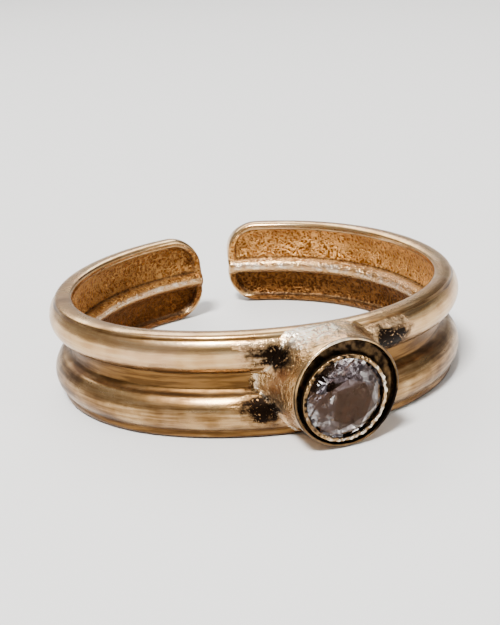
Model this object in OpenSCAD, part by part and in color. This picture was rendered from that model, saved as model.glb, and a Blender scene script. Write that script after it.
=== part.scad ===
// Open toe ring: a double-ridged cast band with a soldered cup that holds one round clear stone.
// It lies on its side. The origin is the middle of the toe hole, on the surface that it rests on.

/* [Band] */
// Inside width of the toe hole, from rim to rim
inner_w = 16.4; // [14:0.1:19]
// Height of the band, along the toe
band_h = 4.4; // [4.3:0.1:5.5]
// Thickness of the two plain rims
rim_t = 0.8; // [0.7:0.05:1.2]
// Radius of the rims' soft edges
rim_round = 0.18; // [0.05:0.01:0.3]

/* [Outer ridges] */
// How far the two ridges stand out beyond the rims
ridge_out = 0.28; // [0.16:0.02:0.4]
// Radius of each ridge
ridge_r = 0.9; // [0.8:0.02:1.1]
// Distance between the crests of the two ridges
ridge_pitch = 2.5; // [2.2:0.05:2.6]
// How far the two ridges lie above the middle of the band
ridge_up = 0.1; // [0:0.01:0.2]
// Metal between the groove's floor and the inner rim face
groove_floor = 0.3; // [0.25:0.01:0.5]

/* [Inside of the band] */
// Height of the lip along each rim
lip_h = 0.32; // [0.3:0.01:0.6]
// Depth of the two channels at their edges
channel_edge = 0.2; // [0.1:0.01:0.3]
// Depth of the two channels in their middles
channel_d = 0.4; // [0.35:0.01:0.5]
// Width of the half-round middle ridge
mid_ridge_w = 0.76; // [0.7:0.02:1]
// How far the middle ridge stands into the hole, beyond the rims
mid_ridge_out = 0.25; // [0.1:0.01:0.4]
// How far the middle ridge lies below the middle of the band
mid_ridge_down = 0.16; // [0.1:0.01:0.2]

/* [Open ends] */
// Corner radius of the two rounded ends
end_round = 1.65; // [1:0.05:1.95]
// Width of the lip around each end
end_lip = 0.4; // [0.3:0.05:0.8]

/* [Cup] */
// Outside width of the cup
cup_d = 4.4; // [4.3:0.05:4.5]
// How far the cup's edge stands out beyond the band's rims
cup_out = 1.75; // [1.65:0.05:2.2]
// Turn of the cup to the right, in degrees
cup_turn = 5; // [0:1:10]
// How far the cup sits to the left of where the band's two sides meet
cup_left = 0.2; // [0:0.05:0.4]
// How far the cup sits above the middle of the band
cup_up = 0.06; // [0.05:0.01:0.1]
// Radius of the solder that runs from the cup down to the band
solder_r = 0.4; // [0.25:0.05:0.7]
// Thickness of the cup's wall at its edge
edge_t = 0.12; // [0.08:0.01:0.2]
// Depth of the ring-shaped recess between that wall and the stone's collar
recess_d = 0.4; // [0.1:0.05:0.6]

/* [Stone and its collar] */
// Width of the round stone
stone_d = 3.25; // [2.8:0.05:3.3]
// Clearance around the stone in its seat
stone_gap = 0.04; // [0.03:0.01:0.06]
// Thickness of the collar around the stone
collar_t = 0.09; // [0.06:0.01:0.15]
// How far the collar stands out beyond the cup's edge
collar_out = 0.05; // [0:0.01:0.1]
// Thickness of the collar's edge that reaches over the stone
hold_t = 0.05; // [0.03:0.01:0.08]
// How far that edge reaches over the stone
hold_over = 0.03; // [0:0.01:0.04]
// How far to the left of the cup's middle the stone is seated
stone_left = 0.1; // [0:0.01:0.12]
// How far below the cup's middle the stone is seated
stone_down = 0.2; // [0:0.01:0.24]

/* [Hidden] */
$fn = 96;
METAL = [0.74, 0.62, 0.46];
CLEAR = [0.86, 0.88, 0.92];
// The band's bends from the cup to each end: [inside radius as a share of inner_w, degrees]
LEFT_BENDS = [[0.65, 35], [0.41, 35], [0.38, 35], [0.51, 70]];
RIGHT_BENDS = [[0.46, 40], [0.44, 40], [0.575, 40], [0.51, 50]];
// Where the two sides meet under the cup, on the inner rim face, as shares of inner_w
FRONT = [0.046, -0.504];
// The stone's heights as shares of stone_d
CROWN_H = 0.148;
GIRDLE_H = 0.03;
PAVILION_H = 0.42;
SEAT_H = 0.46;      // the round seat is a little deeper than the pavilion
// The stone's sets of eight facets: [slope in degrees, turn in degrees, reach as a share of stone_d]
CROWN_CUTS = [
    [34.5, 0, 0.498],       // mains
    [38.9, 11.25, 0.494],   // halves, in two sets
    [38.9, 33.75, 0.494],
    [21.5, 22.5, 0.6385],   // stars around the table
];
PAVILION_CUTS = [
    [40.75, 0, 0.498],      // mains
    [41.5, 11.25, 0.494],   // halves, in two sets
    [41.5, 33.75, 0.494],
];
PAST = 0.005;       // how far a set of facets runs past the table or the point, as a share of stone_d
SOLDER_RISE = 0.4;  // how far the solder climbs above the ridges' crests, as a share of solder_r
JOIN = 0.08;        // how far inside the metal a hidden join lies
FAR = 4;            // how far shapes that cut or clip run past what they cut

mid_h = band_h / 2;
crest_low = mid_h + ridge_up - ridge_pitch / 2;
crest_high = crest_low + ridge_pitch;
// Half the width of a ridge where it meets the rims' outer face
ridge_foot = sqrt(pow(ridge_r, 2) - pow(ridge_r - ridge_out, 2));
// Radius of an arc that rises by rise over a chord of twice half
function arc_r(half, rise) = (half * half + rise * rise) / (2 * rise);
mid_ridge_y = mid_h - mid_ridge_down;
// A middle ridge that is high for its width is half round on top and has straight sides below.
mid_ridge_half = mid_ridge_w / 2;
mid_ridge_rise = mid_ridge_out + channel_edge;
mid_ridge_r = mid_ridge_half < mid_ridge_rise ? mid_ridge_half : arc_r(mid_ridge_half, mid_ridge_rise);
solder_top = ridge_out + solder_r * SOLDER_RISE;
// The underside of the edge that holds the stone rises as the crown's steepest facets do.
hold_rise = (hold_over + stone_gap) * tan(CROWN_CUTS[1][0]);
girdle_y = cup_out + collar_out - hold_t - hold_rise - stone_gap;
seat_r = stone_d / 2 + stone_gap;

// The band's section without its channels: x from the inner rim face outwards, y up the band.
module band_section() {
    translate([0, lip_h])
        square([groove_floor, band_h - 2 * lip_h]);
    ridge_section(crest_low, lip_h / 2);
    ridge_section(crest_high, mid_h);
    rim_section(0, rim_round, max(lip_h, crest_low - ridge_foot + JOIN));
    rim_section(band_h, band_h - rim_round, min(band_h - lip_h, crest_high + ridge_foot - JOIN));
}

module ridge_section(crest, low) {
    intersection() {
        translate([rim_t + ridge_out - ridge_r, crest])
            circle(ridge_r);
        translate([0, low])
            square([FAR, mid_h - lip_h / 2]);
    }
}

// One rim: the height of its edge, that of its soft corners' centres, and that where it ends in a ridge.
module rim_section(edge, soft, flat) {
    translate([0, min(soft, flat)])
        square([rim_t, abs(flat - soft)]);
    translate([rim_round, min(edge, flat)])
        square([rim_t - 2 * rim_round, abs(flat - edge)]);
    for (x = [rim_round, rim_t - rim_round])
        translate([x, soft])
            circle(rim_round);
}

// The two channels of the inside, as what is cut away. Each runs on under the middle ridge.
module channel_section() {
    one_channel(lip_h, mid_ridge_y, mid_ridge_y - mid_ridge_half - lip_h, 0);
    one_channel(mid_ridge_y, band_h - lip_h, band_h - lip_h - mid_ridge_y - mid_ridge_half, 1);
}

// One channel between two heights. Its open part lies against the lower one, or the upper if at_top is 1.
module one_channel(low, high, width, at_top) {
    half = width / 2;
    r = arc_r(half, channel_d - channel_edge);
    intersection() {
        translate([channel_d - r, at_top ? high - half : low + half])
            circle(r);
        translate([-mid_ridge_out, low])
            square([FAR, high - low]);
    }
}

module mid_ridge_section() {
    intersection() {
        translate([mid_ridge_r - mid_ridge_out, mid_ridge_y]) {
            circle(mid_ridge_r);
            translate([0, -mid_ridge_half])
                square([FAR, mid_ridge_w]);
        }
        translate([-FAR, 0])
            square([FAR + (channel_edge + groove_floor) / 2, band_h]);
    }
}

// Where the bends of one side lie. The side is 1 for the right and -1 for the left.
function radius(bend) = bend[0] * inner_w;
function turned(bends, i) = i == 0 ? 0 : turned(bends, i - 1) + bends[i - 1][1];
function outwards(side, angle) = [side * sin(angle), -cos(angle)];
function centre(bends, side, i) =
    i == 0 ? FRONT * inner_w + [0, radius(bends[0])]
        : centre(bends, side, i - 1)
            + (radius(bends[i - 1]) - radius(bends[i])) * outwards(side, turned(bends, i));

// Moves by v in a coarse and a fine step, which keeps the ends of neighbouring bends exactly together.
module move_exactly(v) {
    coarse = [for (x = v) round(x * 100) / 100];
    translate(coarse)
        translate(v - coarse)
            children();
}

// Sweeps a section along the bends of one side.
module along(bends, side) {
    for (i = [0 : len(bends) - 1]) {
        turn = bends[i][1];
        before = turned(bends, i);
        move_exactly(centre(bends, side, i))
            rotate_extrude(angle = turn, start = side > 0 ? before - 90 : -90 - before - turn)
                move_exactly([radius(bends[i]), 0])
                    children();
    }
}

// Moves to the open end of one side and turns x to point on past it.
module at_end(bends, side) {
    last = len(bends) - 1;
    whole = turned(bends, last + 1);
    translate(centre(bends, side, last) + radius(bends[last]) * outwards(side, whole))
        rotate(side > 0 ? whole : 180 - whole)
            children();
}

// What lies past a rounded end, which starts end_in before the end and side_in from the rims.
module past_end(end_in, side_in, corner) {
    straight = band_h - 2 * (side_in + corner);
    rotate([90, 0, 0])
        linear_extrude(2 * FAR, center = true)
            translate([-end_in - corner, 0])
                difference() {
                    translate([0, -FAR])
                        square([corner + end_in + FAR, band_h + 2 * FAR]);
                    translate([-FAR, side_in + corner])
                        square([FAR + corner, straight]);
                    for (y = [side_in + corner, side_in + corner + straight])
                        translate([0, y])
                            circle(corner);
                }
}

// One side of the open band, from the cup to its rounded end.
module band_side(bends, side) {
    difference() {
        union() {
            difference() {
                along(bends, side)
                    band_section();
                difference() {
                    along(bends, side)
                        channel_section();
                    at_end(bends, side)
                        past_end(end_lip, lip_h, end_round - end_lip);
                }
            }
            along(bends, side)
                mid_ridge_section();
        }
        at_end(bends, side)
            past_end(0, 0, end_round);
    }
}

// Places what stands on the cup's axis: z points outwards from the plane of the rims' outer faces.
module on_cup_axis() {
    translate([FRONT[0] * inner_w - cup_left, FRONT[1] * inner_w - rim_t, mid_h + cup_up])
        rotate([90, 0, cup_turn])
            children();
}

// Places what stands on the stone's axis: z is 0 at the top of the girdle.
module on_stone_axis() {
    on_cup_axis()
        translate([-stone_left, -stone_down, girdle_y])
            children();
}

// The cup, and the solder around its foot. Both are rooted in the band and stop short of its inside.
module cup() {
    difference() {
        union() {
            on_cup_axis()
                translate([0, 0, -rim_t - mid_ridge_out])
                    cylinder(d = cup_d, h = rim_t + mid_ridge_out + cup_out);
            intersection() {
                on_cup_axis()
                    rotate_extrude()
                        solder_section();
                translate([-inner_w, -inner_w, rim_round])
                    cube([2 * inner_w, 2 * inner_w, band_h - 2 * rim_round]);
            }
        }
        along([LEFT_BENDS[0]], -1)
            behind_cup_section();
        along([RIGHT_BENDS[0]], 1)
            behind_cup_section();
    }
}

module solder_section() {
    foot = cup_d / 2 + solder_r;
    difference() {
        translate([0, -rim_t - mid_ridge_out])
            square([foot, rim_t + mid_ridge_out + solder_top]);
        translate([foot, solder_top])
            circle(solder_r);
    }
}

// The inside of the band and its channels, taken a little way into the metal.
module behind_cup_section() {
    translate([-FAR, -FAR])
        square([FAR + JOIN, band_h + 2 * FAR]);
    translate([JOIN, 0])
        channel_section();
}

// The recess inside the cup's wall, as what is cut away.
module recess() {
    on_cup_axis()
        translate([0, 0, cup_out - recess_d])
            cylinder(r = cup_d / 2 - edge_t, h = 2 * recess_d);
}

// The collar that holds the stone. It is rooted below the recess's floor.
module collar() {
    root = recess_d + collar_out + JOIN;
    on_stone_axis()
        translate([0, 0, stone_gap + hold_rise + hold_t - root])
            cylinder(r = seat_r + collar_t, h = root);
}

// The stone's seat inside its collar, as what is cut away.
module seat_section() {
    hold_r = stone_d / 2 - hold_over;
    low = -GIRDLE_H * stone_d - stone_gap;
    under = stone_gap + hold_rise;
    high = under + hold_t + JOIN;
    polygon([
        [0, low - SEAT_H * stone_d], [seat_r, low], [seat_r, stone_gap],
        [hold_r, under], [hold_r, high], [0, high],
    ]);
}

module band_and_cup() color(METAL) {
    difference() {
        union() {
            band_side(LEFT_BENDS, -1);
            band_side(RIGHT_BENDS, 1);
            difference() {
                cup();
                recess();
            }
            collar();
        }
        on_stone_axis()
            rotate_extrude()
                seat_section();
    }
}

// Eight facets around the stone's axis, up to the height top.
module facets(cut, top) {
    apothem = cut[2] * stone_d;
    slope = 1 / tan(cut[0]);
    corner = 1 / cos(22.5);
    rotate(cut[1] - 22.5)
        translate([0, 0, -stone_d])
            cylinder(
                r1 = (apothem + stone_d * slope) * corner,
                r2 = (apothem - top * slope) * corner,
                h = stone_d + top,
                $fn = 8
            );
}

// A round brilliant: table, stars, mains and halves in front, mains and halves behind.
module stone() color(CLEAR)
    on_stone_axis()
        intersection() {
            translate([0, 0, -(GIRDLE_H + PAVILION_H) * stone_d])
                cylinder(d = stone_d, h = (CROWN_H + GIRDLE_H + PAVILION_H) * stone_d);
            intersection_for (cut = CROWN_CUTS)
                facets(cut, (CROWN_H + PAST) * stone_d);
            translate([0, 0, -GIRDLE_H * stone_d])
                rotate([180, 0, 0])
                    intersection_for (cut = PAVILION_CUTS)
                        facets(cut, (PAVILION_H + PAST) * stone_d);
        }

band_and_cup();
stone();
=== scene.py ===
import math

import bpy
from mathutils import Matrix, Vector


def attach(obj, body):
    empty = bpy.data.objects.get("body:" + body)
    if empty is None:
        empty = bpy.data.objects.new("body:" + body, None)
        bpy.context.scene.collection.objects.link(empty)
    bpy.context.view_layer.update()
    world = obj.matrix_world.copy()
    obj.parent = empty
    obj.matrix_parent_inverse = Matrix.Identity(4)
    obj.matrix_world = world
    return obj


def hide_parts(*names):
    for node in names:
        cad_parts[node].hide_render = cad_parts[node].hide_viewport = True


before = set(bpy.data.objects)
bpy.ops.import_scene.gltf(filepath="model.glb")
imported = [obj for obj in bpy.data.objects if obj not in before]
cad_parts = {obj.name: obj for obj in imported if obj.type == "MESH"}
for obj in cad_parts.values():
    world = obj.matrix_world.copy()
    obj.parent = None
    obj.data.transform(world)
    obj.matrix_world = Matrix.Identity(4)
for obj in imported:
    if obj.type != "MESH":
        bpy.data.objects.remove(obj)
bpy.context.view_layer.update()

# The band.
# The real band is one cast strip of copper alloy with two ridges outside and one inside. It is bent
# open round a mandrel, its outside is polished, and its two inner channels stay as the mould left them.

MM = 0.001


class Socket:
    """One output of a node. Arithmetic on it adds Math nodes to the same tree."""

    def __init__(self, tree, socket):
        self.tree = tree
        self.socket = socket

    def math(self, operation, *others):
        return self.tree.node("ShaderNodeMath", {"operation": operation}, [self, *others])

    def __add__(self, other):
        return self.math("ADD", other)

    def __sub__(self, other):
        return self.math("SUBTRACT", other)

    def __mul__(self, other):
        return self.math("MULTIPLY", other)

    def __truediv__(self, other):
        return self.math("DIVIDE", other)

    def __pow__(self, other):
        return self.math("POWER", other)

    def __radd__(self, other):
        return self.math("ADD", other)

    def __rmul__(self, other):
        return self.math("MULTIPLY", other)

    def __rsub__(self, other):
        return self.tree.node("ShaderNodeMath", {"operation": "SUBTRACT"}, [other, self])

    def __abs__(self):
        return self.math("ABSOLUTE")

    def at_least(self, other):
        return self.math("MAXIMUM", other)

    def at_most(self, other):
        return self.math("MINIMUM", other)

    def above(self, low, high):
        """0 at low and 1 at high, eased between them, and the other way round if high is the smaller."""
        settings = {"interpolation_type": "SMOOTHSTEP"}
        return self.tree.node("ShaderNodeMapRange", settings, [self, low, high, 0.0, 1.0])

    def within(self, half_width, edge):
        """1 where the value is nearer to 0 than half_width, and 0 from edge further out."""
        return abs(self).above(half_width + edge, half_width)

    def root(self):
        """The square root, and 0 for values below 0."""
        return self.at_least(0.0).math("SQRT")


class Tree:
    """A node tree that one method fills. Lengths in it are in millimetres."""

    def __init__(self, tree):
        self.tree = tree

    def node(self, kind, settings=None, values=None, output=None):
        """Adds a node, with its settings first, then its sockets by name or in order. Gives one output."""
        node = self.tree.nodes.new(kind)
        for name, value in (settings or {}).items():
            if name == "stops":
                ramp = node.color_ramp.elements
                while len(ramp) < len(value):
                    ramp.new(0.5)
                for element, (place, colour) in zip(ramp, value):
                    element.position = place
                    element.color = (*colour, 1.0)
            else:
                setattr(node, name, value)
        open_sockets = [s for s in node.inputs if s.enabled]
        named = values.items() if isinstance(values, dict) else enumerate(values or [])
        for key, value in named:
            if isinstance(key, int):
                socket = open_sockets[key]
            else:
                socket = next(s for s in open_sockets if s.name == key)
            if isinstance(value, Socket):
                self.tree.links.new(value.socket, socket)
            elif value is not None:
                socket.default_value = value
        for socket in node.outputs:
            if socket.enabled and output in (None, socket.name):
                return Socket(self, socket)

    def vector(self, operation, *values, output=None):
        return self.node("ShaderNodeVectorMath", {"operation": operation}, values, output)

    def scaled(self, vector, by):
        return self.node("ShaderNodeVectorMath", {"operation": "SCALE"}, {"Vector": vector, "Scale": by})

    def part(self, vector, axis):
        return self.node("ShaderNodeSeparateXYZ", None, [vector], axis)

    def xyz(self, x, y, z):
        return self.node("ShaderNodeCombineXYZ", None, [x, y, z])

    def mix(self, factor, first, second):
        """Goes from the first colour to the second as the factor rises."""
        first, second = [c if isinstance(c, Socket) else (*c, 1.0) for c in (first, second)]
        values = {"Factor": factor, "A": first, "B": second}
        return self.node("ShaderNodeMix", {"data_type": "RGBA"}, values)


class ShapeTree(Tree):
    """A Geometry Nodes tree, whose inputs are the named sizes that it is given."""

    def __init__(self, name, sizes):
        super().__init__(bpy.data.node_groups.new(name, "GeometryNodeTree"))
        face = self.tree.interface
        face.new_socket("Geometry", in_out="INPUT", socket_type="NodeSocketGeometry")
        face.new_socket("Geometry", in_out="OUTPUT", socket_type="NodeSocketGeometry")
        kinds = {
            float: "NodeSocketFloat",
            int: "NodeSocketInt",
            Vector: "NodeSocketVector",
            bpy.types.Material: "NodeSocketMaterial",
        }
        self.values = {}
        for title, value in sizes.items():
            kind = kinds.get(type(value), "NodeSocketObject")
            made = face.new_socket(title, in_out="INPUT", socket_type=kind)
            self.values[made.identifier] = value
        entry = self.tree.nodes.new("NodeGroupInput")
        self.given = {s.name: Socket(self, s) for s in entry.outputs if s.name}

    def keep(self, geometry, name, value, kind="FLOAT"):
        """Stores a value under a name on the geometry's points."""
        settings = {"data_type": kind, "domain": "POINT"}
        values = {"Geometry": geometry, "Name": name, "Value": value}
        return self.node("GeometryNodeStoreNamedAttribute", settings, values)

    def kept(self, name, kind="FLOAT"):
        return self.node("GeometryNodeInputNamedAttribute", {"data_type": kind}, {"Name": name})

    def grain(self, place, size, detail=2.0):
        """A noise between about -1 and 1, with features of the given size."""
        values = {"Vector": place, "W": self.given["Seed"], "Scale": 1 / size, "Detail": detail}
        return self.node("ShaderNodeTexNoise", {"noise_dimensions": "4D"}, values) * 2.0 - 1.0

    def circle(self):
        """A circle whose points know how far round they are, from 0 to 1."""
        values = {"Resolution": self.given["Points round"]}
        ring = self.node("GeometryNodeCurvePrimitiveCircle", {"mode": "RADIUS"}, values)
        return self.keep(ring, "round", self.node("GeometryNodeSplineParameter", output="Factor"))

    def make(self, name, points, shape, spare):
        """Ends the tree, runs it on a line through the points, and gives the plain mesh object.

        The spare attributes were needed only on the way, and are left out of the mesh.
        """
        smooth = self.node("GeometryNodeSetShadeSmooth", None, {"Geometry": shape})
        real = self.node("GeometryNodeRealizeInstances", None, {"Geometry": smooth})
        values = {"Geometry": real, "Material": self.given["Material"]}
        painted = self.node("GeometryNodeSetMaterial", None, values)
        self.node("NodeGroupOutput", None, {"Geometry": painted})
        line = bpy.data.meshes.new(name)
        line.from_pydata(points, [(i, i + 1) for i in range(len(points) - 1)], [])
        piece = bpy.data.objects.new(name, line)
        bpy.context.scene.collection.objects.link(piece)
        modifier = piece.modifiers.new(name, "NODES")
        modifier.node_group = self.tree
        for identifier, value in self.values.items():
            modifier[identifier] = value
        depsgraph = bpy.context.evaluated_depsgraph_get()
        finished = piece.evaluated_get(depsgraph)
        shape = bpy.data.meshes.new_from_object(finished, preserve_all_data_layers=True, depsgraph=depsgraph)
        for attribute in spare:
            shape.attributes.remove(shape.attributes[attribute])
        piece.modifiers.remove(modifier)
        piece.data = shape
        return piece


def paint(red, green, blue):
    """A colour as the screen shows it, from 0 to 255, as the linear colour that a shader takes."""
    parts = [c / 255 for c in (red, green, blue)]
    return tuple(c / 12.92 if c <= 0.04045 else ((c + 0.055) / 1.055) ** 2.4 for c in parts)


class FinishTree(Tree):
    """The shader of one finish, which knows its place on the ring in millimetres."""

    def __init__(self, name):
        self.material = bpy.data.materials.new(name)
        self.material.use_nodes = True
        super().__init__(self.material.node_tree)
        self.tree.nodes.clear()
        here = self.node("ShaderNodeTexCoord", output="Object")
        self.place = self.scaled(here, 1 / MM)

    def attribute(self, name):
        return self.node("ShaderNodeAttribute", {"attribute_name": name}, output="Fac")

    def grain(self, size, detail=3.0, place=None, rough=0.5):
        """A noise between 0 and 1, with features of the given size."""
        values = {"Vector": place or self.place, "Scale": 1 / size, "Detail": detail, "Roughness": rough}
        return self.node("ShaderNodeTexNoise", None, values)

    def blot(self, centre, reach):
        """1 in the middle of an egg-shaped place on the ring, 0 at its edge, and less outside it."""
        away = self.vector("SUBTRACT", self.place, centre)
        return 1.0 - self.vector("LENGTH", self.vector("DIVIDE", away, reach), output="Value")


def ring_metal():
    """Pale brass with bright crests, brown tarnish in its hollows, and raw casting in its channels."""
    metal = FinishTree("ring metal")

    # What the shapes say of each place, all from 0 to 1 but for along and up, which are in millimetres.
    hollow, cast, soot, worn, fired, lumpy, inside, along, up = [
        metal.attribute(name)
        for name in ("hollow", "cast", "soot", "worn", "fired", "lumpy", "inside", "along", "up")
    ]

    # Grains from coarse to fine, the worm-like pits of the casting, and streaks drawn out along the band.
    broad = metal.grain(2.2, 2.0)
    cloud = metal.grain(0.9, 3.0)
    fine = metal.grain(0.3, 4.0)
    dust = metal.grain(0.1, 3.0)
    worms = (1.0 - abs(metal.grain(0.22, 3.0) * 2.0 - 1.0) * 5.0).above(-0.6, 1.0)
    streaks = metal.grain(0.16, 4.0, metal.xyz(along * 0.08, up, 0.0), 0.55)

    # The polished outside, its brown tarnish, which also carries painted shade on the ridges' undersides and
    # feet, and the colours that the soldering flame left.
    colour = metal.mix(cloud.above(0.35, 0.65), paint(206, 168, 116), paint(186, 146, 96))
    colour = metal.mix(broad.above(0.45, 0.65) * 0.5, colour, paint(216, 176, 136))
    colour = metal.mix(streaks.above(0.45, 0.65) * 0.22, colour, paint(158, 116, 72))
    colour = metal.mix(streaks.above(0.5, 0.36) * 0.3, colour, paint(228, 202, 160))
    tarnish_and_painted_shade = hollow + (broad - 0.5) * 0.7 + (cloud - 0.5) * 0.5 + (streaks - 0.5) * 0.45
    tarnish_and_painted_shade = tarnish_and_painted_shade.above(0.15, 0.85)
    olive = metal.mix(streaks.above(0.4, 0.6), paint(112, 78, 38), paint(72, 46, 18))
    colour = metal.mix(tarnish_and_painted_shade * 0.95, colour, olive)
    heat = (fired + (cloud - 0.5) * 1.6 + (fine - 0.5) * 0.9).above(0.55, 1.05)
    colour = metal.mix(heat * 0.8, colour, paint(158, 98, 44))

    # The raw casting, with painted shade in the lower channel and on the lower lip, darker on the left, and
    # the metal that is worn bare, with painted highlights.
    raw = metal.mix(worms, paint(144, 90, 38), paint(238, 178, 102))
    raw = metal.mix(broad.above(0.4, 0.65) * 0.5, raw, paint(150, 96, 42))
    raw = metal.mix(dust.above(0.56, 0.7) * 0.5, raw, paint(84, 50, 20))
    shaded = metal.mix(worms, paint(48, 24, 8), paint(100, 57, 23))
    raw = metal.mix(up.above(2.2, 1.6) * 0.85, raw, shaded)
    raw = metal.mix(along.above(-15.0, -19.0) * 0.55, raw, paint(104, 62, 26))
    colour = metal.mix(cast, colour, raw)
    # Bare worn metal, which also carries painted highlights on the middle ridge's crest, the cup rim's upper
    # side and the solder heap.
    bare_and_highlight = (worn + (cloud - 0.5) * 0.7 + (fine - 0.5) * 0.7 + (dust - 0.5) * 0.4).above(0.35, 0.85)
    colour = metal.mix(bare_and_highlight, colour, paint(246, 234, 212))

    # Soot in three places beside the cup: left above, left below and right above, none inside the band.
    left_above = metal.blot((-1.65, -9.2, 3.55), (1.5, 1.4, 0.85))
    left_below = metal.blot((-2.05, -9.0, 1.3), (1.5, 1.4, 1.0))
    right_above = metal.blot((3.25, -8.85, 3.45), (1.5, 1.3, 1.0))
    blots = left_above.at_least(left_below).at_least(right_above) - inside * 2.0
    ragged = (streaks - 0.5) * 0.9 + (cloud - 0.5) * 1.2 + (fine - 0.5) * 1.6 + (dust - 0.5) * 0.8
    flecks = (dust - blots * 0.12).above(0.53, 0.6)
    soot_and_painted_shade = (blots * 1.8 + ragged).above(0.0, 1.15) * (1.0 - flecks * 0.75)
    # Painted shade in the band's creases and in the cup's recess, seat, collar and rim joins the soot blots
    # here.
    soot_and_painted_shade = soot_and_painted_shade.at_least((soot + (fine - 0.5) * soot * 0.6).at_most(1.0))
    colour = metal.mix(soot_and_painted_shade, colour, metal.mix(soot_and_painted_shade, paint(96, 66, 42), paint(20, 13, 8)))

    roughness = (
        0.1
        + cloud * 0.14
        + streaks * 0.06
        + fine * 0.06
        + tarnish_and_painted_shade * 0.12
        + cast * 0.12
        + soot_and_painted_shade * 0.2
        + heat * 0.1
        - bare_and_highlight * 0.05
    )
    relief = (
        cast * (worms * 0.06 + fine * 0.06 + dust * 0.016)
        + streaks * 0.005
        - soot_and_painted_shade * 0.03
        + lumpy * (fine * 0.1 + dust * 0.035)
        + worn * (fine * 0.03 + dust * 0.01)
        + cloud * 0.015
        + dust * 0.003
    )
    bump = metal.node("ShaderNodeBump", None, {"Strength": 1.0, "Distance": MM, "Height": relief})
    values = {"Base Color": colour, "Metallic": 1.0, "Roughness": roughness, "Normal": bump}
    shader = metal.node("ShaderNodeBsdfPrincipled", None, values)
    metal.node("ShaderNodeOutputMaterial", None, {"Surface": shader})
    return metal.material


RING_METAL = ring_metal()

# Where the two sides meet under the cup, on the inner rim face, and each side's bends from there to its
# open end: the inside radius in millimetres, and degrees. An end is rounded in the band's own plane.
FRONT = (0.7544, -8.2656)
LEFT_BENDS = [(10.66, 35), (6.724, 35), (6.232, 35), (8.364, 70)]
RIGHT_BENDS = [(7.544, 40), (7.216, 40), (9.43, 40), (8.364, 50)]
END_ROUND = 1.65


def side_of_band(bends, side, step=0.085):
    """Points along the inner rim face from the front to one end, closer together where it is rounded."""
    whole = sum(radius * math.radians(turn) for radius, turn in bends)
    tip, tip_steps = END_ROUND * 0.96, 28
    close = [tip * (1 - math.cos(i / tip_steps * math.pi / 2)) for i in range(tip_steps + 1)]
    plain = round((whole - tip) / step)
    gone = [(whole - tip) * i / plain for i in range(plain)] + [whole - c for c in reversed(close)]
    points = []
    for length in gone:
        x, y, heading = *FRONT, 0.0
        for number, (radius, turn) in enumerate(bends):
            part = min(length, radius * math.radians(turn))
            if number == len(bends) - 1:
                part = length
            swing = heading + part / radius
            x += side * radius * (math.sin(swing) - math.sin(heading))
            y += radius * (math.cos(heading) - math.cos(swing))
            length -= part
            heading = swing
            if length <= 1e-9:
                break
        points.append((x, y, 0.0))
    return points


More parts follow.
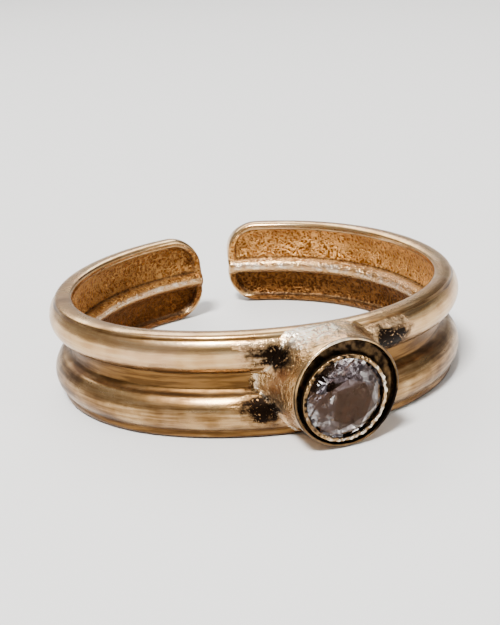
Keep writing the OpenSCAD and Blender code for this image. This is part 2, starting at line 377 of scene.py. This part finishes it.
def band_shape(sizes):
    band = ShapeTree("swept band", sizes)
    size = band.given
    middle = size["Height"] * 0.5

    # The line that the section follows, and what each of its points has to know.
    path = band.node("GeometryNodeMeshToCurve", None, {"Mesh": size["Geometry"]})
    place = band.node("GeometryNodeInputPosition")
    tangent = band.node("GeometryNodeInputTangent")
    out = band.vector("NORMALIZE", band.vector("CROSS_PRODUCT", tangent, (0.0, 0.0, 1.0)))
    gone = band.node("GeometryNodeSplineParameter", output="Length")
    whole = band.node("GeometryNodeSplineLength", output="Length")
    path = band.keep(path, "line", place, "FLOAT_VECTOR")
    path = band.keep(path, "out", out, "FLOAT_VECTOR")
    path = band.keep(path, "along", gone - whole * 0.5)
    path = band.keep(path, "to_end", gone.at_most(whole - gone))
    values = {"Curve": path, "Profile Curve": band.circle(), "Fill Caps": True}
    skin = band.node("GeometryNodeCurveToMesh", None, values)
    line = band.kept("line", "FLOAT_VECTOR")
    along = band.kept("along")

    # Where a point lies on the section: on a face from rim to rim, or on the rim between two faces.
    twice = band.kept("round") * 2.0
    inner = twice.math("FLOOR")
    sign = 1.0 - inner * 2.0
    share = twice.math("FRACT")
    on_face = (share / (1.0 - size["Rim share"])).at_most(1.0)
    on_rim = ((share - 1.0 + size["Rim share"]) / size["Rim share"]).at_least(0.0) * math.pi
    eased = on_face - (on_face * math.tau).math("SINE") * (0.5 / math.tau)
    squareness = 0.75
    across = on_rim.math("COSINE")
    across = sign * across.math("SIGN") * abs(across) ** squareness
    rise = sign * on_rim.math("SINE") ** squareness

    # The rounded ends: how much shorter the section is there, and how much thinner. The middle of the
    # metal is longer than its inside, along which the line runs.
    stretch = 1.05
    to_end = band.kept("to_end") * stretch
    short = END_ROUND - (END_ROUND**2 - (END_ROUND - to_end).at_least(0.0) ** 2.0).root()
    soft = size["Edge softness"]
    thin = soft - (soft * soft - (soft - to_end).at_least(0.0) ** 2.0).root()
    wander = band.grain(band.vector("ADD", line, band.xyz(0.0, 0.0, rise)), 1.3)
    y = middle + sign * (eased * 2.0 - 1.0) * (middle - short - soft) + rise * soft * (0.97 + wander * 0.03)

    # The outside: two ridges with a groove between them, and the plain rims above and below.
    to_crest = size["Ridge spacing"] * 0.5
    low = middle + size["Ridges raised"] - to_crest
    high = low + size["Ridge spacing"]
    round_off = size["Ridge radius"]
    base = size["Rim thickness"] + size["Ridge stands out"] - round_off
    ridges = [(round_off * round_off - (y - c) * (y - c)).root() + base for c in (low, high)]
    from_groove = y - middle - size["Ridges raised"]
    off = abs(from_groove)
    on_rims = off.above(to_crest - 0.05, to_crest + 0.05)
    plain = size["Groove floor"] + on_rims * (size["Rim thickness"] - size["Groove floor"])
    outside = ridges[0].math("SMOOTH_MAX", ridges[1], 0.08).math("SMOOTH_MAX", plain, 0.07)

    # The inside: a channel on each side of the middle ridge, inside a lip that runs round the ends.
    from_ridge = y - middle + size["Middle ridge lowered"]
    half = size["Middle ridge width"] * 0.5
    reach = (middle - size["Lip"] - half) * 0.5
    over = (abs(from_ridge) - half - reach) / reach
    depth = size["Channel edge"] + (size["Channel depth"] - size["Channel edge"]) * (1.0 - over * over)
    inset = END_ROUND - size["End lip"]
    past = (END_ROUND - to_end).at_least(0.0)
    lip = size["Lip"] + inset - (inset**2.0 - past * past).root()
    edge = (middle - lip) - abs(y - middle)
    past_lip = to_end - size["End lip"]
    inset_edge = edge.above(0.0, 0.11) * past_lip.above(0.0, 0.11)
    crown = half - size["Middle ridge stands out"] - (half * half - from_ridge * from_ridge).root()
    steep = 40.0
    crown = crown + (abs(from_ridge) - half).at_least(0.0) * steep

    # The mould's pebbled skin in the channels, and the slight unevenness of hand polishing elsewhere.
    raised = band.xyz(0.0, 0.0, y)
    lie = band.vector("ADD", line, raised)
    pebbles = band.grain(lie, 0.3, 3.0) * inset_edge * size["Casting roughness"]
    uneven = band.grain(lie, 1.7) * size["Unevenness"]
    inside = (depth * inset_edge + pebbles).math("SMOOTH_MIN", crown + uneven, 0.05)
    outside = outside + uneven

    # The ends' rounding never takes all of the metal.
    thin = thin.at_most((outside - inside) * 0.42)
    x = inside + thin + (outside - inside - thin * 2.0) * (across * 0.5 + 0.5)

    placed = band.vector("ADD", line, band.scaled(band.kept("out", "FLOAT_VECTOR"), x))
    placed = band.scaled(band.vector("ADD", placed, raised), MM)

    # What the metal has to know of the outside: the groove's tarnish, painted shade at the ridges' feet and
    # on their undersides, and painted shade lines in the creases.
    is_outer = across.above(0.0, 0.1)
    is_inner = across.above(0.0, -0.1)
    groove = off.above(0.75, 0.25) * is_outer
    ridge_foot = 1.93
    # Painted shade: a dark line at the ridges' feet, and darkening on their undersides, joined with the
    # groove's real tarnish.
    rim_crease_shade = (off - ridge_foot).within(0.03, 0.1) * is_outer * 0.7
    painted_underside_shade = (y - low).above(-0.2, -0.8).at_least((y - high).above(-0.1, -0.7) * 0.7) * is_outer
    scuffed = (abs(y - middle) - middle).above(-0.16, -0.04) * (along + 11.0).within(3.0, 3.0)
    hollow = groove.at_least(rim_crease_shade).at_least(painted_underside_shade * 0.85).at_least(scuffed * 0.5)
    # Painted shade: thin dark lines in the creases above and below the groove and above the bottom rim.
    upper_crease_shade = (from_groove - 0.43).within(0.03, 0.09) * 0.6
    lower_crease_shade = (from_groove + 0.43).within(0.02, 0.07) * 0.3
    lowest_crease_shade = (y - 0.36).within(0.02, 0.07) * 0.45
    outer_crease_shade = (upper_crease_shade + lower_crease_shade + lowest_crease_shade) * is_outer

    # And of the inside: where the casting is raw, painted shade lines along its edges, above the ridge and
    # at the ends, and the ridge's crest, worn bare with a painted highlight.
    left = along.above(-7.0, -10.0)
    off_ridge = (abs(from_ridge) - half + left * 0.22).above(-0.06, 0.02)
    from_rim = middle - short - soft - abs(y - middle)
    end_lip = from_rim.above(0.02, 0.1) * to_end.above(0.06, 0.12) * to_end.above(1.0, 0.6)
    # The lower lip counts as raw casting, so that the metal darkens it there as painted shade.
    low_lip = y.above(0.05, 0.13) * (size["Lip"] + 0.1 - y).above(0.0, 0.1) * to_end.above(0.4, 0.8)
    raw_metal = inset_edge.at_least(end_lip).at_least(low_lip) * (off_ridge * 0.7 + 0.3) * is_inner
    wobble = band.grain(lie, 0.4, 3.0)
    # Painted shade: dark lines above the middle ridge, along the channels' edges and in the ends' crevices.
    over_ridge_shade = (from_ridge - half - 0.04 + wobble * 0.04).within(0.02, 0.07) * inset_edge
    channel_edge_shade = (edge - 0.05 + wobble * 0.04).within(0.02, 0.05) * past_lip.above(-0.05, 0.0)
    end_crevice_shade = (past_lip - 0.05 + wobble * 0.1).within(0.02, 0.08) * edge.above(0.0, 0.05)
    inner_crease_shade = over_ridge_shade.at_least(channel_edge_shade * 0.7).at_least(end_crevice_shade * off_ridge * 0.7)
    crest = (from_ridge - 0.05).within(0.14 - left * 0.08, 0.16) * is_inner
    skin = band.keep(skin, "hollow", hollow)
    skin = band.keep(skin, "cast", raw_metal)
    skin = band.keep(skin, "soot", (inner_crease_shade * 0.85 * is_inner).at_least(outer_crease_shade))
    skin = band.keep(skin, "worn", crest * 0.48)
    skin = band.keep(skin, "up", y)
    skin = band.keep(skin, "inside", is_inner)
    skin = band.node("GeometryNodeSetPosition", None, {"Geometry": skin, "Position": placed})
    skin = band.node("GeometryNodeFlipFaces", None, {"Mesh": skin})
    left_side = side_of_band(LEFT_BENDS, -1)[::-1]
    right_side = side_of_band(RIGHT_BENDS, 1)[1:]
    return band.make("band", left_side + right_side, skin, ("line", "out", "to_end", "round"))


band = band_shape({
    "Height": 4.4,
    "Rim thickness": 0.8,
    "Edge softness": 0.2,
    "Ridge stands out": 0.28,
    "Ridge radius": 0.9,
    "Ridge spacing": 2.5,
    "Ridges raised": 0.1,
    "Groove floor": 0.3,
    "Lip": 0.32,
    "Channel edge": 0.2,
    "Channel depth": 0.4,
    "End lip": 0.4,
    "Middle ridge width": 0.76,
    "Middle ridge stands out": 0.25,
    "Middle ridge lowered": 0.16,
    "Casting roughness": 0.022,
    "Unevenness": 0.012,
    "Rim share": 0.13,
    "Points round": 156,
    "Seed": 4.0,
    "Material": RING_METAL,
})
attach(band, "root")
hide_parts("band_and_cup")

# The cup.
# The real cup is a short turned piece with a thin wall and a collar inside it, which grips the stone.
# It is soldered to the front of the band, and the solder runs up its wall, most of all on the left above.

CUP_RADIUS, CUP_OUT, WALL, RECESS = 2.2, 1.75, 0.12, 0.4
SEAT_RADIUS, COLLAR_OUT, COLLAR_WALL = 1.665, 1.8, 0.09
SEAT_DEPTH, SEAT_RIM_DOWN = 1.495, 0.284


def arc(middle, radius, start, end, steps):
    """Points of the section on an arc between two angles in degrees."""
    angles = [math.radians(start + (end - start) * i / steps) for i in range(steps + 1)]
    return [(middle[0] + radius * math.cos(a), middle[1] + radius * math.sin(a)) for a in angles]


def cup_section():
    """The cup's section from the middle of the seat to the foot: from the axis, how far out, and the stage.

    At stage 0 it lies about the stone's axis, and from stage 1 about the cup's own. Stages 1 to 2 are the
    wall, 2 to 3 the solder, and 4 is the closed back inside the band's metal.
    """
    seat_rim = COLLAR_OUT - SEAT_RIM_DOWN
    seat = [(SEAT_RADIUS * i / 6, seat_rim - SEAT_DEPTH * (1 - i / 6)) for i in range(7)]
    half = COLLAR_WALL / 2

    # The collar leans in over the stone's edge, and its crest is a half round.
    lip = [(SEAT_RADIUS, COLLAR_OUT - 0.106), (SEAT_RADIUS - 0.065, COLLAR_OUT - 0.05)]
    crest = arc((SEAT_RADIUS + half - 0.03, COLLAR_OUT - half), half + 0.03, 160, 0, 8)
    skirt = [(SEAT_RADIUS + COLLAR_WALL, COLLAR_OUT - 0.1 * i) for i in range(1, 4)]
    points = [(r, w, 0.0) for r, w in seat + lip + crest + skirt]

    # The floor of the recess, from the collar's foot to the wall, and the rounded top of the wall.
    floor_radius, inner = SEAT_RADIUS + COLLAR_WALL, CUP_RADIUS - WALL
    floor = [(0.03, 0.1, 0.02), (0.06, 0.03, 0.1), (0.12, 0.0, 0.3), (0.2, 0.0, 0.65), (0.28, 0.01, 0.93)]
    points += [(floor_radius + r, CUP_OUT - RECESS + w, stage) for r, w, stage in floor]
    points += [(inner - 0.015, CUP_OUT - RECESS + 0.06, 1.0), (inner, CUP_OUT - RECESS / 2, 1.0)]
    top = arc((CUP_RADIUS - WALL / 2, CUP_OUT - WALL / 2), WALL / 2, 180, 0, 8)
    points += [(r, w, 1.0) for r, w in top]
    points += [(CUP_RADIUS, CUP_OUT - WALL / 2, 1 + i / 8) for i in range(1, 9)]
    points += [(CUP_RADIUS, 0.0, 2 + i / 16) for i in range(1, 17)]
    sunk = -0.25
    return points + [(CUP_RADIUS * i / 4, sunk, 4.0) for i in (3, 2, 1, 0)]


def cup_shape(sizes):
    cup = ShapeTree("turned cup", sizes)
    size = cup.given

    section = cup.node("GeometryNodeMeshToCurve", None, {"Mesh": size["Geometry"]})
    point = cup.node("GeometryNodeInputPosition")
    section = cup.keep(section, "from_axis", cup.part(point, "X"))
    section = cup.keep(section, "height", cup.part(point, "Y"))
    section = cup.keep(section, "stage", cup.part(point, "Z"))
    values = {"Curve": cup.circle(), "Profile Curve": section, "Fill Caps": False}
    skin = cup.node("GeometryNodeCurveToMesh", None, values)

    turn = cup.kept("round")
    cosine = (turn * math.tau).math("COSINE")
    sine = (turn * math.tau).math("SINE")
    stage = cup.kept("stage")
    far = cup.kept("from_axis")
    high = cup.kept("height")
    down_wall = (stage - 1.0).at_least(0.0).at_most(1.0)
    solder = (stage - 2.0).at_least(0.0).at_most(1.0)
    is_wall = stage.math("GREATER_THAN", 1.001)
    is_solder = stage.math("GREATER_THAN", 2.001) * stage.math("LESS_THAN", 3.5)
    is_back = stage.math("GREATER_THAN", 3.5)
    own_axis = stage.at_least(0.0).at_most(1.0)
    drift = cup.grain(cup.xyz(cosine, sine, 0.0), 0.5, 2.0)

    # How far the solder reaches: most on the left above, and further where the groove gives it room.
    heap = (turn - 0.29).within(0.05, 0.11)
    top_of_solder = size["Solder height"] * (1.0 + heap * 0.45 + drift * 0.15)
    width = size["Solder width"] * (1.0 + heap * 0.5 + drift * 0.25)

    def spot(u, v, w):
        """The place u to the right of the cup's middle, v above it and w out from it, in metres."""
        beside = cup.vector("ADD", size["Middle"], cup.scaled(size["Right"], u))
        lifted = cup.vector("ADD", cup.scaled(size["Out"], w), cup.xyz(0.0, 0.0, v))
        return cup.scaled(cup.vector("ADD", beside, lifted), MM)

    target = cup.node("GeometryNodeObjectInfo", None, {"Object": size["Band"]}, output="Geometry")

    def height_of_band(u, v):
        """How far out the band's surface lies, seen straight in from a point in front of the cup."""
        start = 3.0
        values = {
            "Target Geometry": target,
            "Source Position": spot(u, v, start),
            "Ray Direction": cup.scaled(size["Out"], -1.0),
            "Ray Length": 12 * MM,
        }
        fall = cup.node("GeometryNodeRaycast", {"data_type": "FLOAT"}, values, output="Hit Distance")
        return start - fall / MM

    # The solder's edge, its slope up to the wall, and how it bends over the band's upper and lower rims.
    on_rim, past_rim = 1.95, 2.1
    foot = width + CUP_RADIUS
    under = height_of_band(cosine * foot, (sine * foot).at_least(-1.9).at_most(1.9))
    foot = foot + (-0.1 - under).at_least(0.0) * size["Solder in groove"]
    radius = far + (foot - far) * solder**1.9 * is_solder
    u = cosine * radius - (1.0 - own_axis) * size["Stone left"]
    v = sine * radius - (1.0 - own_axis) * size["Stone down"]
    over = v.above(on_rim, 2.3) * is_solder
    v = v + (v.at_least(-past_rim).at_most(past_rim) - v) * solder * is_solder
    ground = height_of_band(u, v.at_least(-on_rim).at_most(on_rim)) - over * solder * 0.4
    on_wall = high + (top_of_solder - high) * down_wall
    fillet = ground + (top_of_solder - ground) * (1.0 - solder) ** 1.7
    on_left = cosine.above(-0.2, -0.6)
    bead = (solder - 0.86).within(0.03, 0.1) * on_left * under.above(-0.45, -0.1) * 0.05 - solder * 0.02
    w = high + (on_wall - high) * is_wall
    w = w + (fillet + bead - w) * is_solder
    w = w + (high - w) * is_back

    # Wear: the rim is chipped below right, the collar is a row of crumbs, and the solder is lumpy.
    lie = cup.xyz(u, v, w)
    at_rim = stage.above(0.97, 1.0) * stage.above(1.3, 1.0) * w.above(1.55, 1.75)
    chipped = (turn - 0.91).within(0.035, 0.05)
    nibbled = (cup.grain(lie, 0.3, 3.0) * 0.5 + 0.5) * at_rim * (0.02 + chipped * 0.13)
    at_collar = stage.above(0.05, 0.0) * w.above(COLLAR_OUT - 0.06, COLLAR_OUT) * far.above(1.5, 1.6)
    beads = ((turn * size["Crumbs"] + drift * 1.6) * math.tau).math("COSINE") * 0.7
    beads = beads + cup.grain(lie, 0.22, 2.0) * 2.2
    crumbs = (beads - 0.4) * at_collar * 0.022
    lumps = cup.grain(lie, 0.32, 3.0) * (is_solder + down_wall) * size["Lumps"] * (1.0 - is_back)
    w = w - nibbled + crumbs + lumps
    lift = lumps * 0.6 * (1.0 - solder) + crumbs * 0.8
    placed = spot(u + cosine * lift, v + sine * lift, w)

    # What the metal has to know of the place: painted shade in the recess, the seat, on the collar's upper
    # left and on the rim away from its upper side, with dirt on the collar, and bare metal on the edges,
    # with painted highlights on the rim's upper side and the solder heap.
    shaded_recess = stage.above(-0.01, 0.0) * stage.above(1.001, 1.0) * w.above(1.74, 1.66)
    in_seat = stage.above(0.01, 0.0) * far.above(1.6, 1.5)
    shaded_upper_left = (sine * 0.6 - cosine * 0.8).above(-0.6, 0.6)
    patches = cup.grain(lie, 0.35, 2.0)
    # Painted light on the rim: lighter on its upper side and darker elsewhere, most of all below right.
    painted_lit_side = (sine * 0.9 - cosine * 0.3).above(0.3, 0.8)
    rim_wear_and_highlight = at_rim * (painted_lit_side * 0.5 + patches * 0.3)
    collar_wear_and_highlight = at_collar * (0.6 - shaded_upper_left * 0.5 + patches * 0.4 + beads * 0.25)
    # Painted highlight on the solder heap.
    heap_highlight = heap * (down_wall * 0.35 + solder * 0.7).at_most(0.6)
    worn_bead = (solder - 0.8).within(0.04, 0.1) * on_left * 0.7
    bare_and_highlight = rim_wear_and_highlight.at_least(collar_wear_and_highlight).at_least(heap_highlight).at_least(worn_bead)
    # Painted shade on the collar's upper left, mixed with dirt in patches, and painted shade in the recess
    # and the seat.
    collar_dirt_and_shade = (shaded_upper_left * 0.7 - patches * 0.5 - beads * 0.3 + 0.1).at_least(0.0).at_most(1.0)
    soot_and_painted_shade = shaded_recess * 0.95 + in_seat * 0.25 + at_collar * collar_dirt_and_shade + at_rim * (0.8 - painted_lit_side * 0.8)
    skin = cup.keep(skin, "soot", soot_and_painted_shade)
    skin = cup.keep(skin, "worn", bare_and_highlight)
    skin = cup.keep(skin, "fired", (down_wall * (1.0 - heap * 0.6) * 0.62).at_least(in_seat))
    skin = cup.keep(skin, "lumpy", down_wall)
    skin = cup.node("GeometryNodeSetPosition", None, {"Geometry": skin, "Position": placed})
    skin = cup.node("GeometryNodeMergeByDistance", None, {"Geometry": skin, "Distance": 0.002 * MM})
    return cup.make("cup", cup_section(), skin, ("from_axis", "height", "stage", "round"))


# The cup stands on the rims' outer face, a little to the left of where the band's two sides meet.
CUP_TURN = math.radians(5)
cup = cup_shape({
    "Middle": Vector((FRONT[0] - 0.2, FRONT[1] - 0.8, 2.26)),
    "Right": Vector((math.cos(CUP_TURN), math.sin(CUP_TURN), 0.0)),
    "Out": Vector((math.sin(CUP_TURN), -math.cos(CUP_TURN), 0.0)),
    "Stone left": 0.1,
    "Stone down": 0.2,
    "Solder height": 0.85,
    "Solder width": 0.3,
    "Solder in groove": 0.4,
    "Lumps": 0.04,
    "Crumbs": 34.0,
    "Points round": 360,
    "Seed": 2.0,
    "Band": band,
    "Material": RING_METAL,
})
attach(cup, "root")
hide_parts("band_and_cup")

# The stone.
# The real stone is a round brilliant of clear glass with a table, cut and polished. The collar grips it
# by its girdle, and its back is closed in.


def stone_glass():
    """Clear glass, its colour painted with light and dark facet reflections and shade, with a thin film of
    grease that dulls it in patches.
    """
    glass = FinishTree("stone glass")
    film = glass.grain(0.8, 3.0)
    specks = glass.grain(0.12, 2.0)
    facet = 0.3
    values = {"Vector": glass.place, "Scale": 1 / facet, "Randomness": 1.0}
    cells = glass.node("ShaderNodeTexVoronoi", {"distance": "MANHATTAN"}, values, output="Color")
    cell = glass.node("ShaderNodeSeparateColor", None, [cells], output="Red")

    # Painted light in the glass colour: small light and dark facets as painted reflections, painted shade
    # darkest above, and a painted brown reflection of the seat below right.
    shade = glass.blot((0.1, -11.1, 2.5), (1.3, 1.3, 1.0)).above(0.0, 0.35)
    tint_and_painted_light = glass.mix(cell.above(0.4, 0.7), paint(52, 45, 48), paint(246, 240, 236))
    tint_and_painted_light = glass.mix(shade * cell.above(0.9, 0.8), tint_and_painted_light, paint(30, 25, 28))
    painted_seat_reflection = glass.blot((0.95, -10.9, 1.55), (1.0, 1.2, 0.85)).above(0.1, 0.5)
    tint_and_painted_light = glass.mix(painted_seat_reflection * (0.85 - cell * 0.5), tint_and_painted_light, paint(186, 128, 92))
    greasy = film.above(0.45, 0.7)
    tint_and_painted_light = glass.mix(greasy * 0.4, tint_and_painted_light, paint(128, 112, 116))
    values = {
        "Base Color": tint_and_painted_light,
        "Roughness": 0.01 + greasy * 0.03 + specks.above(0.62, 0.7) * 0.05,
        "IOR": 1.62,
        "Specular Tint": (0.66, 0.37, 0.23, 1.0),
        "Transmission Weight": 1.0,
    }
    shader = glass.node("ShaderNodeBsdfPrincipled", None, values)
    glass.node("ShaderNodeOutputMaterial", None, {"Surface": shader})
    return glass.material


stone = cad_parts["stone"]
stone.data.materials.clear()
stone.data.materials.append(stone_glass())

# The table, the lights and the camera.
# A plain pale table that reaches past the view, three soft lights, and a camera that looks at the ring as
# the photograph does. The room is dim halfway up, which gives the polished metal something to show.

TABLE_REACH = 3000 * MM
corners = [(x * TABLE_REACH, y * TABLE_REACH, 0) for x, y in ((-1, -1), (1, -1), (1, 1), (-1, 1))]
table_mesh = bpy.data.meshes.new("table")
table_mesh.from_pydata(corners, [], [(0, 1, 2, 3)])
table = bpy.data.objects.new("table", table_mesh)
bpy.context.scene.collection.objects.link(table)
table_paint = FinishTree("pale table")
values = {"Base Color": (0.7, 0.69, 0.67, 1.0), "Roughness": 0.7}
painted = table_paint.node("ShaderNodeBsdfPrincipled", None, values)
table_paint.node("ShaderNodeOutputMaterial", None, {"Surface": painted})
table_mesh.materials.append(table_paint.material)

world = bpy.data.worlds.new("room")
bpy.context.scene.world = world
world.use_nodes = True
world.node_tree.nodes.clear()
room = Tree(world.node_tree)
way = room.node("ShaderNodeTexCoord", output="Generated")
pale, dim, bright = (1.05, 1.04, 1.03), (0.13, 0.12, 0.12), (0.95, 0.95, 0.95)
stops = [(0.0, pale), (0.14, pale), (0.36, dim), (0.55, dim), (0.8, bright)]
by_height = room.node("ShaderNodeValToRGB", {"stops": stops}, [room.part(way, "Z")], "Color")
near_wall = (0.5, 0.47, 0.45)
shade = room.mix(room.part(way, "X").above(-0.2, -0.9) * 0.7, by_height, near_wall)
walls = room.node("ShaderNodeBackground", None, {"Color": shade})
room.node("ShaderNodeOutputWorld", None, {"Surface": walls})


def soft_light(name, place, width, height, power):
    """A softbox that looks at the ring, with its place and size in millimetres and its power in watts."""
    light = bpy.data.lights.new(name, "AREA")
    light.shape = "RECTANGLE"
    light.size = width * MM
    light.size_y = height * MM
    light.energy = power
    lamp = bpy.data.objects.new(name, light)
    bpy.context.scene.collection.objects.link(lamp)
    lamp.location = Vector(place) * MM
    lamp.rotation_euler = (-Vector(place)).to_track_quat("-Z", "Y").to_euler()


soft_light("key", (-250, -300, 700), 200, 150, 17.0)
soft_light("fill", (500, -500, 350), 300, 300, 1.5)
soft_light("back", (-60, 700, 600), 900, 400, 6.5)

AZIMUTH, ELEVATION, ROLL = (math.radians(a) for a in (15.01, 19.0, -3.87))
DISTANCE = 49.7
aim = Vector((0.0, 0.0, 2.2))
ahead = math.cos(ELEVATION)
look = Vector((math.sin(AZIMUTH) * ahead, math.cos(AZIMUTH) * ahead, -math.sin(ELEVATION)))
right = Vector((math.cos(AZIMUTH), -math.sin(AZIMUTH), 0.0))
top = right.cross(look)
camera_data = bpy.data.cameras.new("camera")
camera_data.lens = 61.0
camera_data.clip_start = 1 * MM
camera_data.clip_end = 5.0
camera = bpy.data.objects.new("camera", camera_data)
bpy.context.scene.collection.objects.link(camera)
camera.location = (aim - look * DISTANCE) * MM
tilted_right = right * math.cos(ROLL) + top * math.sin(ROLL)
tilted_top = top * math.cos(ROLL) - right * math.sin(ROLL)
camera.rotation_euler = Matrix((tilted_right, tilted_top, -look)).transposed().to_euler()
bpy.context.scene.camera = camera
